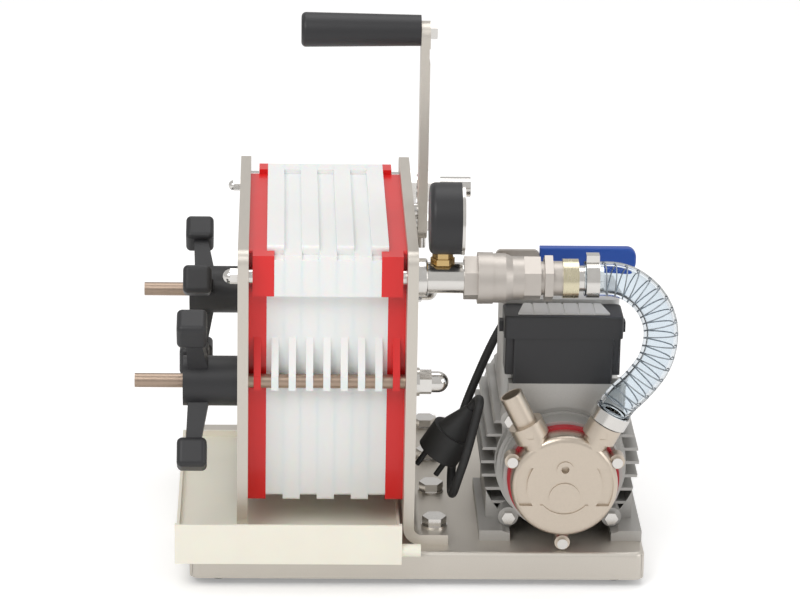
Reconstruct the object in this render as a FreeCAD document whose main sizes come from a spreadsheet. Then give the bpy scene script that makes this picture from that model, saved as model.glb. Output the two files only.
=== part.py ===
import FreeCAD, Part
import math
import os
import Sketcher

# A small tabletop plate filter press for wine: seven white filter plates are squeezed between
# two red end plates by two star knobs on tie rods. A motor and pump feed them through a hose,
# a ball valve and a gauge. Millimetres; +X runs from the knobs to the pump, +Y away from the
# front, +Z up, with the origin under the middle of the press on the table.

SIZES = {
    # base pan and feet
    "base_left": -180.0, "base_front": -164.0, "base_long": 384.0, "base_deep": 300.0,
    "base_tall": 24.0, "base_sheet": 2.5, "base_bend": 4.0, "base_corner": 9.0,
    "foot_tall": 7.0, "foot_across": 21.0, "foot_inset": 24.0, "foot_taper": 1.5,
    # steel plates that squeeze the stack
    "steel_thick": 9.0, "steel_deep": 283.0, "steel_front": -147.0, "steel_top": 290.0,
    "steel_corner": 11.0, "stack_middle": -7.5, "frame_face": 0.0, "frame_foot": 38.0, "frame_bend": 15.0,
    "press_bottom": 45.0, "bolt_x": 27.0, "bolt_first": 22.5, "bolt_pitch": 78.0, "bolt_hex": 18.0,
    "bolt_tall": 7.0, "bolt_washer": 22.0, "bolt_washer_thick": 1.6,
    # filter plates
    "plate_thick": 14.5, "end_thick": 15.0, "plate_deep": 218.0, "plate_tall": 223.3,
    "plate_bottom": 59.0, "plate_rise": 4.1, "plate_round": 3.0, "lug_reach": 14.4,
    "lug_tall": 35.3, "lug_step": 3.4, "lug_overlap": 6.2, "lug_shy": 3.2, "port_bore": 7.0,
    "fin_thick": 6.0, "fin_drop": 36.0, "fin_reach": 15.0,
    "port_ring_across": 26.0, "port_ring_long": 7.0, "lug_ring_across": 13.0,
    # tie rods, their nuts and the star knobs
    "rod_across": 12.0, "rod_offset": 117.3, "rod_height": 170.0, "rod_left": -226.5,
    "rod_right": 31.0, "fit_gap": 0.3, "nut_across": 19.0, "nut_thick": 10.0,
    "washer_across": 24.0, "washer_thick": 3.0, "nut_dome": 8.5,
    "hub_across": 42.0, "hub_long": 45.5, "head_size": 25.0, "head_reach": 63.0,
    "neck_wide": 12.0, "neck_thick": 11.0, "neck_root": 25.0, "neck_end": 5.0, "head_round": 4.5, "head_back": 8.0,
    # ports near the top corners
    "port_offset": 116.0, "port_height": 262.0, "back_port_height": 268.3,
    "cap_front": 11.8, "cap_back": 9.0, "cap_tall": 6.5,
    # inlet line
    "flange_across": 32.0, "flange_thick": 8.0, "pipe_across": 26.0, "pipe_long": 30.2,
    "valve_hex": 33.0, "valve_hex_left": 11.3, "valve_hex_right": 13.9, "ridge_across": 43.2,
    "ridge_long": 4.2, "groove_across": 41.0, "groove_long": 1.0, "barrel_across": 43.0,
    "barrel_long": 8.5, "back_across": 41.2, "back_long": 9.4, "dome_long": 5.8,
    "neck_across": 36.4, "valve_long": 63.6,
    "nipple_across": 28.0, "nipple_neck": 3.3, "nipple_hex": 35.0, "nipple_hex_long": 6.9,
    "nipple_thread": 29.0, "nipple_long": 18.5, "union_across": 33.0, "union_long": 13.2,
    "line_bore": 15.0,
    # gauge
    "gauge_x": 29.3, "gauge_rise": 51.9, "gauge_across": 61.0, "gauge_deep": 29.0,
    "gauge_left": 17.7, "bezel_thick": 2.6, "case_round": 5.0, "bezel_lip": 1.2,
    "gauge_stem_hex": 15.0, "gauge_base_hex": 17.5, "gauge_base_tall": 5.0,
    # valve lever
    "stem_x": 84.0, "stem_across": 10.0, "stem_long": 25.0, "lever_wide": 15.0,
    "lever_thick": 4.0, "sleeve_left": 113.6, "sleeve_long": 81.8, "sleeve_thick": 8.0,
    "sleeve_wide": 21.0, "sleeve_end": 8.0,
    # hose
    "hose_across": 29.0, "hose_wall": 3.5, "clamp_wide": 11.0, "clamp_thick": 1.8,
    "barb_long": 16.0, "low_barb_long": 12.0, "hose_turn": 97.0, "clamp_inset": 1.3, "clamp_box_wide": 9.0, "clamp_box_tall": 7.0,
    "hose_start_gap": 5.0,
    # outlet tail
    "outlet_hex": 26.5, "outlet_hex_long": 6.0, "outlet_body": 22.0, "outlet_body_long": 10.0,
    "outlet_nut_long": 11.0, "outlet_nut": 24.0, "outlet_tail": 18.0, "outlet_tail_long": 27.5,
    "outlet_bore": 11.0,
    # carry handle
    "bar_thick": 7.8, "bar_wide": 26.0, "bar_bottom": 259.5, "bar_over_grip": 7.6,
    "bar_gap": 3.4, "waist_low": 417.0, "waist_high": 430.0, "waist_depth": 0.8,
    "grip_long": 101.2, "grip_root": 26.3, "grip_tip": 29.6, "grip_round": 4.0,
    "grip_height": 443.0, "bar_bolt_hex": 13.0, "bar_bolt_tall": 6.0, "bar_screw": 7.0,
    "bar_screw_tall": 9.0,
    # motor
    "motor_inset": 70.0, "motor_height": 91.0, "motor_core": 112.0, "motor_across": 135.0,
    "fin_pitch": 12.2, "motor_fin": 2.6, "motor_front": -107.0, "motor_long": 140.0,
    "shield_thick": 15.0, "shield_across": 110.0, "shield_step": 3.0, "bolt_lug": 17.0,
    "cowl_long": 34.0, "cowl_across": 118.0, "cowl_round": 8.5,
    "motor_foot_wide": 26.0, "motor_foot_deep": 120.0, "motor_foot_thick": 9.3,
    "motor_foot_front": -137.0, "motor_foot_span": 138.0, "tie_bolt_span": 88.0,
    "tie_bolt_hex": 10.0, "tie_bolt_tall": 5.0, "saddle_wide": 93.0,
    # terminal box
    "box_inset": 50.0, "box_long": 97.0, "box_front": -121.0, "box_deep": 34.0,
    "box_bottom": 167.5, "box_tall": 40.5, "lid_tall": 19.5, "lid_lip": 1.5, "box_round": 4.0,
    "ear_wide": 6.5, "ear_back": 3.0, "ear_rise": 7.0, "clip_wide": 3.2, "clip_tall": 9.0,
    "cover_inset": 10.0, "cover_deep": 26.0, "cover_tall": 1.6, "cover_slant": 6.0,
    "housing_wide": 99.0, "housing_deep": 70.0, "housing_top": 231.0, "housing_round": 6.0,
    "gland_x": 137.0, "gland_height": 207.0,
    # pump
    "pump_across": 90.0, "pump_front": -164.0, "pump_thick": 18.0, "pump_round": 6.0,
    "ring_across": 94.5, "ring_thick": 6.0, "pump_body_across": 100.5, "arm_drop": 13.0,
    "arm_lean": 27.0, "arm_across": 22.0, "arm_long": 60.5, "arm_y": -153.0,
    "collar_across": 29.4, "collar_long": 14.3, "mark_wide": 6.0, "mark_deep": 0.6,
    "tail_across": 19.5, "tail_long": 28.0, "tail_bore": 16.5, "barb_bore": 15.0,
    "pump_screw": 9.0, "pump_screw_circle": 97.0, "pump_low_screw": 53.0, "pump_screw_tall": 4.0,
    "ear_across": 13.0, "ear_thick": 11.0, "drain_across": 6.7, "drain_boss": 14.0,
    "drain_rise": 16.0, "disc_across": 26.0, "disc_drop": 9.3, "relief": 1.2,
    "ridge_radius": 24.0, "ridge_wide": 1.8, "crescent_out": 41.0, "crescent_in": 31.5,
    "crescent_half": 17.0, "crescent_deep": 3.0,
    # drip tray
    "tray_left": -192.0, "tray_right": -2.0, "tray_front": -178.0, "tray_back": 99.0,
    "tray_wall": 2.5, "tray_rim": 39.0, "tray_front_top": 61.0, "tray_drop": 5.0,
    "tray_slope_deep": 26.0, "spout_across": 11.0, "spout_long": 16.0, "spout_bore": 7.0,
    "tray_edge_gap": 1.5,
    # power cord
    "cord_across": 7.5, "gland_across": 16.0, "gland_long": 12.0, "plug_across": 38.0,
    "plug_long": 24.0, "plug_neck": 26.0, "pin_across": 4.8, "pin_long": 19.0, "pin_span": 19.0,
}
PLATE_COUNT = 7
FIN_HALF = 4
COVER_GROOVES = 5
SCREW_TURN = 25
KNOB_TURNS = {"front": 27, "back": -56}
PLUG_AXIS = (-0.52, 0.1, -0.85)
PLUG_TIP = (56.5, -104, 138.5)
CORD_POINTS = [
    (137, 26, 207), (112, 47, 187), (88, 30.2, 166), (57.3, -20, 113.2), (50, -45, 98),
    (43, -75, 76), (42, -96, 60), (42.5, -117, 64), (46, -126.5, 82), (53, -128.5, 106),
    (59, -127, 132), (63.6, -126, 152), (63.2, -105.3, 149.5),
]
# The bends of the pump hose, from the inlet line down to the discharge arm.
HOSE_BENDS = [
    (181, -123.5, 262), (203.5, -131, 247), (213.5, -138.5, 224), (208.5, -146.5, 197),
    (192, -151.5, 177),
]
UP = FreeCAD.Vector(0, 0, 1)
AXES = {
    "+X": FreeCAD.Vector(1, 0, 0), "-X": FreeCAD.Vector(-1, 0, 0),
    "+Y": FreeCAD.Vector(0, 1, 0), "-Y": FreeCAD.Vector(0, -1, 0),
    "+Z": FreeCAD.Vector(0, 0, 1), "-Z": FreeCAD.Vector(0, 0, -1),
}

doc = FreeCAD.newDocument("filter_press")
nodes = []


class Size:
    """A length that carries both its value and the sheet expression it comes from."""

    def __init__(self, value, text):
        self.value = value
        self.text = text

    def _join(self, other, sign, value):
        return Size(value, "(%s %s %s)" % (self.text, sign, size(other).text))

    def __add__(self, other):
        return self._join(other, "+", self.value + size(other).value)

    def __sub__(self, other):
        return self._join(other, "-", self.value - size(other).value)

    def __mul__(self, other):
        return self._join(other, "*", self.value * size(other).value)

    def __truediv__(self, other):
        return self._join(other, "/", self.value / size(other).value)

    def __neg__(self):
        return size(0) - self

    __radd__ = __add__
    __rmul__ = __mul__


def size(number):
    return number if isinstance(number, Size) else Size(float(number), repr(float(number)))


class Dimensions:
    """Fills the spreadsheet and hands each of its cells back as a Size."""

    def __init__(self, sizes):
        sheet = doc.addObject("Spreadsheet::Sheet", "dims")
        for row, (name, value) in enumerate(sizes.items(), 1):
            sheet.set("A%d" % row, name)
            sheet.set("B%d" % row, str(value))
            sheet.setAlias("B%d" % row, name)
            setattr(self, name, Size(value, "dims." + name))
        doc.recompute()


d = Dimensions(SIZES)

# Planes and heights that many pieces share.
base_top = d.foot_tall + d.base_tall
base_right = d.base_left + d.base_long
base_back = d.base_front + d.base_deep
frame_right = d.frame_face + d.steel_thick
stack_right = d.frame_face - d.end_thick
stack_left = stack_right - d.plate_thick * PLATE_COUNT
press_face = stack_left - d.end_thick
press_outer = press_face - d.steel_thick
plate_front = d.stack_middle - d.plate_deep / 2
plate_back = d.stack_middle + d.plate_deep / 2
plate_top = d.plate_bottom + d.plate_tall
lug_bottom = plate_top - d.lug_tall
port_heights = {"front": d.port_height, "back": d.back_port_height}
motor_x = base_right - d.motor_inset
box_left = motor_x - d.box_inset
bar_top = d.grip_height + d.bar_over_grip
hose_bore = d.hose_across - d.hose_wall * 2
rod_sides = {"front": d.stack_middle - d.rod_offset, "back": d.stack_middle + d.rod_offset}
port_sides = {"front": d.stack_middle - d.port_offset, "back": d.stack_middle + d.port_offset}


def turn_to(axis):
    return FreeCAD.Rotation(UP, AXES[axis] if isinstance(axis, str) else axis)


def bind(thing, **sizes):
    """Tie properties of an object to the sheet."""
    for name, length in sizes.items():
        setattr(thing, name, size(length).value)
        thing.setExpression(name, size(length).text)


def place(thing, at, turn=None):
    """Stand an object at a sheet-bound point."""
    point = [size(part) for part in at]
    base = FreeCAD.Vector(*[part.value for part in point])
    thing.Placement = FreeCAD.Placement(base, turn or FreeCAD.Rotation())
    for letter, part in zip("xyz", point):
        thing.setExpression("Placement.Base." + letter, part.text)
    return thing


def box(name, at, long, deep, tall):
    block = doc.addObject("Part::Box", name)
    bind(block, Length=long, Width=deep, Height=tall)
    return place(block, at)


def rod(name, at, across, long, axis="+Z"):
    bar = doc.addObject("Part::Cylinder", name)
    bind(bar, Radius=size(across) / 2, Height=long)
    return place(bar, at, turn_to(axis))


def cone(name, at, across, far_across, long, axis="+Z"):
    taper = doc.addObject("Part::Cone", name)
    bind(taper, Radius1=size(across) / 2, Radius2=size(far_across) / 2, Height=long)
    return place(taper, at, turn_to(axis))


def hexagon(name, at, across_flats, long, axis="+Z"):
    prism = doc.addObject("Part::Prism", name)
    prism.Polygon = 6
    bind(prism, Circumradius=size(across_flats) / math.sqrt(3), Height=long)
    return place(prism, at, turn_to(axis))


def dome(name, at, across, axis="+Z"):
    """Half a ball with its flat side at the given point."""
    ball = doc.addObject("Part::Sphere", name)
    bind(ball, Radius=size(across) / 2)
    ball.Angle1 = 0
    return place(ball, at, turn_to(axis))


def fuse(name, pieces):
    if len(pieces) == 1:
        return pieces[0]
    joined = doc.addObject("Part::MultiFuse", name)
    joined.Shapes = pieces
    joined.Refine = True
    return joined


def cut(name, base, tools):
    result = doc.addObject("Part::Cut", name)
    result.Base = base
    result.Tool = fuse(name + "_tools", tools)
    return result


def common(name, base, keep):
    """What two shapes share."""
    shared = doc.addObject("Part::Common", name)
    shared.Base = base
    shared.Tool = keep
    return shared


def group(name, pieces):
    """Several like solids that make one sub-part, such as four feet."""
    together = doc.addObject("Part::Compound", name)
    together.Links = pieces
    return together


def round_edges(name, base, radius, pick):
    """Round the edges of a Part feature that pick() chooses."""
    doc.recompute()
    rounded = doc.addObject("Part::Fillet", name)
    rounded.Base = base
    reach = size(radius).value
    rounded.Edges = [(i, reach, reach) for i, edge in enumerate(base.Shape.Edges, 1) if pick(edge)]
    return rounded


def along(letter):
    """Chooses straight edges that run along one axis."""
    def pick(edge):
        if edge.Curve.TypeId != "Part::GeomLine":
            return False
        direction = edge.Curve.Direction
        return abs(getattr(direction, letter)) > 0.999
    return pick


def circle_at(axis, reached):
    """Chooses round edges whose middle has passed a height along an axis."""
    def pick(edge):
        spot = getattr(middle_of(edge), axis)
        return edge.Curve.TypeId == "Part::GeomCircle" and reached(spot)
    return pick


def node(name, thing):
    """Name a finished sub-part."""
    thing.Label = name
    nodes.append(thing)
    return thing


def body_at(name, at):
    """A PartDesign body whose own origin stands at a sheet-bound point."""
    body = doc.addObject("PartDesign::Body", name)
    return place(body, at)


def plane_of(body, role):
    return next(item for item in body.Origin.OriginFeatures if item.Role == role)


def outline(body, name, role, points, offset=None):
    """A closed sketch through sheet-bound points on a plane of the body's own origin."""
    sketch = body.newObject("Sketcher::SketchObject", name)
    sketch.AttachmentSupport = (plane_of(body, role), "")
    sketch.MapMode = "FlatFace"
    if offset is not None:
        sketch.AttachmentOffset = FreeCAD.Placement(
            FreeCAD.Vector(0, 0, size(offset).value), FreeCAD.Rotation())
        sketch.setExpression("AttachmentOffset.Base.z", size(offset).text)
    spots = [(size(x), size(y)) for x, y in points]
    corners = [FreeCAD.Vector(x.value, y.value, 0) for x, y in spots]
    count = len(corners)
    for i, corner in enumerate(corners):
        sketch.addGeometry(Part.LineSegment(corner, corners[(i + 1) % count]), False)
    for i in range(count):
        sketch.addConstraint(Sketcher.Constraint("Coincident", i, 2, (i + 1) % count, 1))
    for i, (x, y) in enumerate(spots):
        for kind, length in (("DistanceX", x), ("DistanceY", y)):
            index = sketch.addConstraint(Sketcher.Constraint(kind, -1, 1, i, 1, length.value))
            sketch.setExpression("Constraints[%d]" % index, length.text)
    return sketch


def pad(body, name, sketch, length, reverse=False, middle=False):
    block = body.newObject("PartDesign::Pad", name)
    block.Profile = sketch
    bind(block, Length=length)
    block.Reversed = reverse
    block.Midplane = middle
    doc.recompute()
    return block


def pocket(body, name, sketch, length, reverse=False):
    """A recess that must take something away."""
    before = body.Shape.Volume
    hollow = body.newObject("PartDesign::Pocket", name)
    hollow.Profile = sketch
    bind(hollow, Length=length)
    hollow.Reversed = reverse
    doc.recompute()
    if body.Shape.Volume >= before:
        raise ValueError(name + " cuts nothing")
    return hollow


def revolve(body, name, sketch, axis_role):
    turned = body.newObject("PartDesign::Revolution", name)
    turned.Profile = sketch
    turned.ReferenceAxis = (plane_of(body, axis_role), [""])
    turned.Angle = 360
    doc.recompute()
    return turned


def soften(body, name, radius, pick):
    """Round chosen edges of a body's latest feature."""
    base = body.Tip
    rounded = body.newObject("PartDesign::Fillet", name)
    chosen = ["Edge%d" % i for i, edge in enumerate(base.Shape.Edges, 1) if pick(edge)]
    rounded.Base = (base, chosen)
    bind(rounded, Radius=radius)
    doc.recompute()
    return rounded


def middle_of(edge):
    return edge.BoundBox.Center


# ---------------------------------------------------------------- base

def make_base():
    body = body_at("base_pan", (d.base_left, d.base_front, d.foot_tall))
    corners = [(0, 0), (d.base_long, 0), (d.base_long, d.base_deep), (0, d.base_deep)]
    pad(body, "base_block", outline(body, "base_outline", "XY_Plane", corners), d.base_tall)
    soften(body, "base_corners", d.base_corner, along("z"))
    high = d.base_tall.value
    soften(body, "base_bends", d.base_bend, lambda edge: middle_of(edge).z > high - 0.1)
    wall = d.base_sheet
    inner = [(wall, wall), (d.base_long - wall, wall),
             (d.base_long - wall, d.base_deep - wall), (wall, d.base_deep - wall)]
    inside = outline(body, "base_inside", "XY_Plane", inner)
    pocket(body, "base_hollow", inside, d.base_tall - wall, reverse=True)
    node("base_pan", body)


def make_feet():
    feet = []
    low = d.foot_across - d.foot_taper * 2
    for i, x in enumerate((d.base_left + d.foot_inset, base_right - d.foot_inset)):
        for j, y in enumerate((d.base_front + d.foot_inset, base_back - d.foot_inset)):
            foot = cone("foot_%d%d" % (i, j), (x, y, 0), low, d.foot_across, d.foot_tall)
            block = rod("foot_stud_%d%d" % (i, j), (x, y, d.foot_tall), d.foot_across,
                        d.base_tall - d.base_sheet)
            feet.append(fuse("foot_whole_%d%d" % (i, j), [foot, block]))
    node("rubber_feet", group("rubber_feet", feet))


# ---------------------------------------------------------------- steel plates

def rod_holes(prefix, left):
    """Clearance holes along X through a steel plate for both tie rods."""
    holes = []
    for side, y in rod_sides.items():
        holes.append(rod(prefix + "_rod_hole_" + side, (left, y, d.rod_height),
                         d.rod_across + d.fit_gap * 2, d.steel_thick, "+X"))
    return holes


def make_frame_plate():
    """The fixed right-hand plate: one thick sheet bent into an L, bolted to the base."""
    body = body_at("frame_sheet", (d.frame_face, d.steel_front, base_top))
    tall = d.steel_top - base_top
    thick = d.steel_thick
    shape = [(0, 0), (d.frame_foot, 0), (d.frame_foot, thick), (thick, thick), (thick, tall), (0, tall)]
    sheet = outline(body, "frame_outline", "XZ_Plane", shape)
    pad(body, "frame_bend_sheet", sheet, d.steel_deep, reverse=True)
    soften(body, "frame_outer_bend", d.frame_bend,
           lambda edge: along("y")(edge) and abs(middle_of(edge).x) < 0.01 and middle_of(edge).z < 0.01)
    inner = d.frame_bend - thick
    soften(body, "frame_inner_bend", inner,
           lambda edge: along("y")(edge) and abs(middle_of(edge).x - thick.value) < 0.01
           and abs(middle_of(edge).z - thick.value) < 0.01)
    soften(body, "frame_corners", d.steel_corner,
           lambda edge: along("x")(edge) and middle_of(edge).z > tall.value - 0.1)
    node("frame_plate", cut("frame_plate", body, rod_holes("frame", d.frame_face)))


def make_foot_bolts():
    bolts = []
    foot_top = base_top + d.steel_thick
    for i in range(4):
        y = d.steel_front + d.bolt_first + d.bolt_pitch * i
        x = d.frame_face + d.bolt_x
        washer = rod("bolt_washer_%d" % i, (x, y, foot_top), d.bolt_washer, d.bolt_washer_thick)
        head = hexagon("bolt_head_%d" % i, (x, y, foot_top + d.bolt_washer_thick),
                       d.bolt_hex, d.bolt_tall)
        bolts.append(fuse("foot_bolt_%d" % i, [washer, head]))
    node("foot_bolts", group("foot_bolts", bolts))


def make_pressing_plate():
    body = body_at("press_sheet", (press_outer, d.steel_front, d.press_bottom))
    tall = d.steel_top - d.press_bottom
    shape = [(0, 0), (d.steel_deep, 0), (d.steel_deep, tall), (0, tall)]
    pad(body, "press_slab", outline(body, "press_outline", "YZ_Plane", shape), d.steel_thick)
    soften(body, "press_corners", d.steel_corner, along("x"))
    node("pressing_plate", cut("pressing_plate", body, rod_holes("press", press_outer)))


def port_ring(side, left, name):
    """The metal seal ring that stands between a steel plate and a red end plate."""
    across = d.port_ring_across if side == "back" else d.lug_ring_across
    long = d.port_ring_long if side == "back" else d.lug_shy
    start = left if name == "left" else left - long
    ring = rod("port_ring_%s_%s" % (name, side), (start, port_sides[side], port_heights[side]),
               across, long, "+X")
    way = rod("port_ring_way_%s_%s" % (name, side), (start, port_sides[side], port_heights[side]),
              d.port_bore, long, "+X")
    return cut("port_ring_whole_%s_%s" % (name, side), ring, [way])


def make_port_caps():
    """Acorn nuts that close the two unused ports of the pressing plate, with their seal rings."""
    caps = []
    for side, across in (("front", d.cap_front), ("back", d.cap_back)):
        y = port_sides[side]
        z = port_heights[side]
        nut = hexagon("cap_hex_" + side, (press_outer, y, z), across, d.cap_tall, "-X")
        top = dome("cap_dome_" + side, (press_outer - d.cap_tall, y, z), across, "-X")
        caps.append(fuse("port_cap_" + side, [nut, top]))
        caps.append(port_ring(side, press_face, "left"))
    node("port_cap_nuts", group("port_cap_nuts", caps))


# ---------------------------------------------------------------- filter plates

def fin(prefix, side, middle_x):
    """The thin hook that grows out of a plate and covers a tie rod."""
    outward = -1 if side == "front" else 1
    face = plate_front if side == "front" else plate_back
    reach = d.fin_reach * outward
    high = d.rod_height + d.fin_drop
    low = d.rod_height - d.fin_thick
    hook = d.rod_across / 2 + d.fit_gap * 2
    rod_y = rod_sides[side]
    shape = [(face, low), (rod_y + reach / 2, low), (rod_y + reach / 2, d.rod_height + hook),
             (face, high)]
    body = body_at(prefix + "_fin_" + side, (middle_x - d.fin_thick / 2, 0, 0))
    pad(body, prefix + "_fin_pad_" + side,
        outline(body, prefix + "_fin_outline_" + side, "YZ_Plane", shape), d.fin_thick)
    return body


def lug(prefix, side, left, long, top):
    """A port block at a top corner of a plate."""
    deep = d.lug_reach + d.plate_round
    outer = plate_front - d.lug_reach if side == "front" else plate_back - d.plate_round
    bottom = lug_bottom if side == "front" else lug_bottom + d.plate_rise
    return box(prefix + "_lug_" + side, (left, outer, bottom), long, deep, top - bottom)


def make_plate(name, left, thick, rise, lugs, extra, recess):
    """A slab with two port lugs and two rod hooks; lugs and extra give the pieces' X runs."""
    slab = box(name + "_slab", (left, plate_front, d.plate_bottom + rise), thick, d.plate_deep,
               d.plate_tall)
    pieces = [round_edges(name + "_rounded", slab, d.plate_round, along("x"))] + extra
    holes = list(recess)
    for side in ("front", "back"):
        start, long, top = lugs[side]
        pieces.append(lug(name, side, start, long, top))
        pieces.append(fin(name, side, left + thick / 2))
        holes.append(rod(name + "_rod_way_" + side, (left, rod_sides[side], d.rod_height),
                         d.rod_across + d.fit_gap * 4, thick, "+X"))
        holes.append(rod(name + "_port_" + side, (left, port_sides[side], port_heights[side]),
                         d.port_bore, thick, "+X"))
    return node(name, cut(name, fuse(name + "_whole", pieces), holes))


def make_end_plate(name, left, inner_left, ring_left, lug_left):
    """A red plate; its front lug hangs over the first white one, its back lug makes room for a ring."""
    thick = d.end_thick
    deep = d.lug_reach - d.fit_gap
    tip = box(name + "_tip", (inner_left, plate_front - d.lug_reach, lug_bottom), d.lug_overlap, deep,
              d.lug_tall)
    half = thick - d.port_ring_long - d.fit_gap
    back_left = left if inner_left.value < left.value else left + thick - half
    recess = rod(name + "_ring_room", (ring_left, port_sides["back"], d.back_port_height),
                 d.port_ring_across + d.fit_gap * 2, d.port_ring_long + d.fit_gap, "+X")
    lugs = {"front": (lug_left, thick - d.lug_shy, plate_top),
            "back": (back_left, half, plate_top + d.plate_rise)}
    make_plate(name, left, thick, size(0), lugs, [tip], [recess])


def make_plates():
    make_end_plate("end_plate_moving", press_face, stack_left, press_face, press_face + d.lug_shy)
    for i in range(PLATE_COUNT):
        left = stack_left + d.plate_thick * i
        first = i == 0
        last = i == PLATE_COUNT - 1
        start = left + d.lug_overlap if first else left
        long = d.plate_thick - d.lug_overlap if first or last else d.plate_thick
        high = i % 2 == 0
        top = plate_top - d.lug_step if high else plate_top
        lugs = {"front": (start, long, top), "back": (left, d.plate_thick, plate_top + d.plate_rise)}
        make_plate("filter_plate_%d" % (i + 1), left, d.plate_thick,
                   d.plate_rise if high else size(0), lugs, [], [])
    ring_left = d.frame_face - d.port_ring_long - d.fit_gap
    make_end_plate("end_plate_fixed", stack_right, stack_right - d.lug_overlap, ring_left, stack_right)


# ---------------------------------------------------------------- tie rods and knobs

def make_tie_rods():
    for side, y in rod_sides.items():
        bar = rod("tie_rod_" + side, (d.rod_left, y, d.rod_height), d.rod_across,
                  d.rod_right - d.rod_left, "+X")
        node("tie_rod_" + side, bar)


def make_rod_nuts():
    nuts = []
    nut_neck = d.nut_dome - d.washer_thick
    nut_round = d.nut_across - d.fit_gap * 4
    for side, y in rod_sides.items():
        z = d.rod_height
        washer = rod("nut_washer_" + side, (frame_right, y, z), d.washer_across, d.washer_thick, "+X")
        nut_left = frame_right + d.washer_thick
        nut = hexagon("nut_hex_" + side, (nut_left, y, z), d.nut_across, d.nut_thick, "+X")
        cap_left = nut_left + d.nut_thick
        neck = rod("nut_neck_" + side, (cap_left, y, z), nut_round,
                   nut_neck, "+X")
        cap = dome("nut_dome_" + side, (cap_left + nut_neck, y, z),
                   nut_round, "+X")
        bore = rod("nut_bore_" + side, (frame_right, y, z), d.rod_across + d.fit_gap,
                   d.rod_right - frame_right + d.fit_gap, "+X")
        nuts.append(cut("acorn_nut_" + side, fuse("nut_whole_" + side, [washer, nut, neck, cap]), [bore]))
    node("rod_acorn_nuts", group("rod_acorn_nuts", nuts))


def make_knob(side, first_angle):
    """A hand nut with three mallet-shaped arms that lean outward from its hub."""
    body = body_at("knob_body_" + side, (press_outer, rod_sides[side], d.rod_height))
    hub_r = d.hub_across / 2
    hub = outline(body, "knob_hub_outline_" + side, "XY_Plane",
                  [(0, 0), (0, hub_r), (-d.hub_long, hub_r), (-d.hub_long, 0)])
    revolve(body, "knob_hub_" + side, hub, "X_Axis")
    half = d.head_size / 2
    middle = -(d.hub_long - d.head_back)
    neck = outline(body, "knob_neck_outline_" + side, "XZ_Plane",
                   [(d.neck_root - d.hub_long, 0), (middle + d.neck_thick / 2, d.head_reach),
                    (middle - d.neck_thick / 2, d.head_reach), (d.neck_end - d.hub_long, 0)])
    neck_pad = pad(body, "knob_neck_" + side, neck, d.neck_wide, middle=True)
    head = outline(body, "knob_head_outline_" + side, "XZ_Plane",
                   [(middle - half, d.head_reach - half), (middle + half, d.head_reach - half),
                    (middle + half, d.head_reach + half), (middle - half, d.head_reach + half)])
    head_pad = pad(body, "knob_head_" + side, head, d.head_size, middle=True)
    star = body.newObject("PartDesign::PolarPattern", "knob_star_" + side)
    star.Originals = [neck_pad, head_pad]
    star.Axis = (plane_of(body, "X_Axis"), [""])
    star.Angle = 360
    star.Occurrences = 3
    body.Tip = star
    doc.recompute()
    inner = d.head_reach.value - half.value
    long_enough = d.head_size.value - 0.5

    def on_head(edge):
        spot = middle_of(edge)
        return math.hypot(spot.y, spot.z) > inner - 1 and edge.Length > long_enough
    soften(body, "knob_round_" + side, d.head_round, on_head)
    body.Placement = FreeCAD.Placement(body.Placement.Base, FreeCAD.Rotation(AXES["+X"], first_angle))
    bore = rod("knob_bore_" + side, (press_outer - d.hub_long - 1, rod_sides[side], d.rod_height),
               d.rod_across + d.fit_gap * 2, d.hub_long + 2, "+X")
    node("knob_" + side, cut("knob_whole_" + side, body, [bore]))


# ---------------------------------------------------------------- carry handle

def make_handle():
    left = frame_right + d.bar_gap
    right = left + d.bar_thick
    y = d.stack_middle
    front = y - d.bar_wide / 2
    bar = box("bar_block", (left, front, d.bar_bottom), d.bar_thick, d.bar_wide, bar_top - d.bar_bottom)
    rounded = round_edges("bar_rounded", bar, d.steel_corner, along("x"))
    waist = box("bar_waist", (right - d.waist_depth, front, d.waist_low), d.waist_depth, d.bar_wide,
                d.waist_high - d.waist_low)
    node("carry_bar", cut("carry_bar", rounded, [waist]))
    grip = cone("grip_cone", (left, y, d.grip_height), d.grip_root, d.grip_tip, d.grip_long, "-X")
    far = (left - d.grip_long).value + 1
    node("carry_grip", round_edges("carry_grip", grip, d.grip_round, circle_at("x", lambda x: x < far)))
    bolts = []
    for name, z in (("low", d.bar_bottom + d.bar_wide / 2), ("high", d.steel_top - d.bar_wide / 4)):
        bolts.append(rod("bar_spacer_" + name, (frame_right, y, z), d.bar_bolt_hex, d.bar_gap, "+X"))
    for name, z in (("low", d.bar_bottom + d.bar_wide / 2), ("grip", d.grip_height)):
        bolts.append(hexagon("bar_bolt_" + name, (right, y, z), d.bar_bolt_hex, d.bar_bolt_tall, "+X"))
    bolts.append(rod("bar_screw", (left + d.bar_thick / 2, y, d.bar_bottom), d.bar_screw,
                     d.bar_screw_tall, "-Z"))
    node("carry_bolts", group("carry_bolts", bolts))


# ---------------------------------------------------------------- inlet line

line_y = port_sides["front"]
line_z = d.port_height
pipe_right = frame_right + d.flange_thick + d.pipe_long
valve_left = pipe_right
valve_right = valve_left + d.valve_long
nipple_right = valve_right + d.nipple_long
union_right = nipple_right + d.union_long


def bored(name, pieces, left, right, bore):
    """A turned fitting on the inlet line with its water way through it."""
    way = rod(name + "_way", (left, line_y, line_z), bore, right - left, "+X")
    return node(name, cut(name, fuse(name + "_solid", pieces), [way]))


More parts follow.
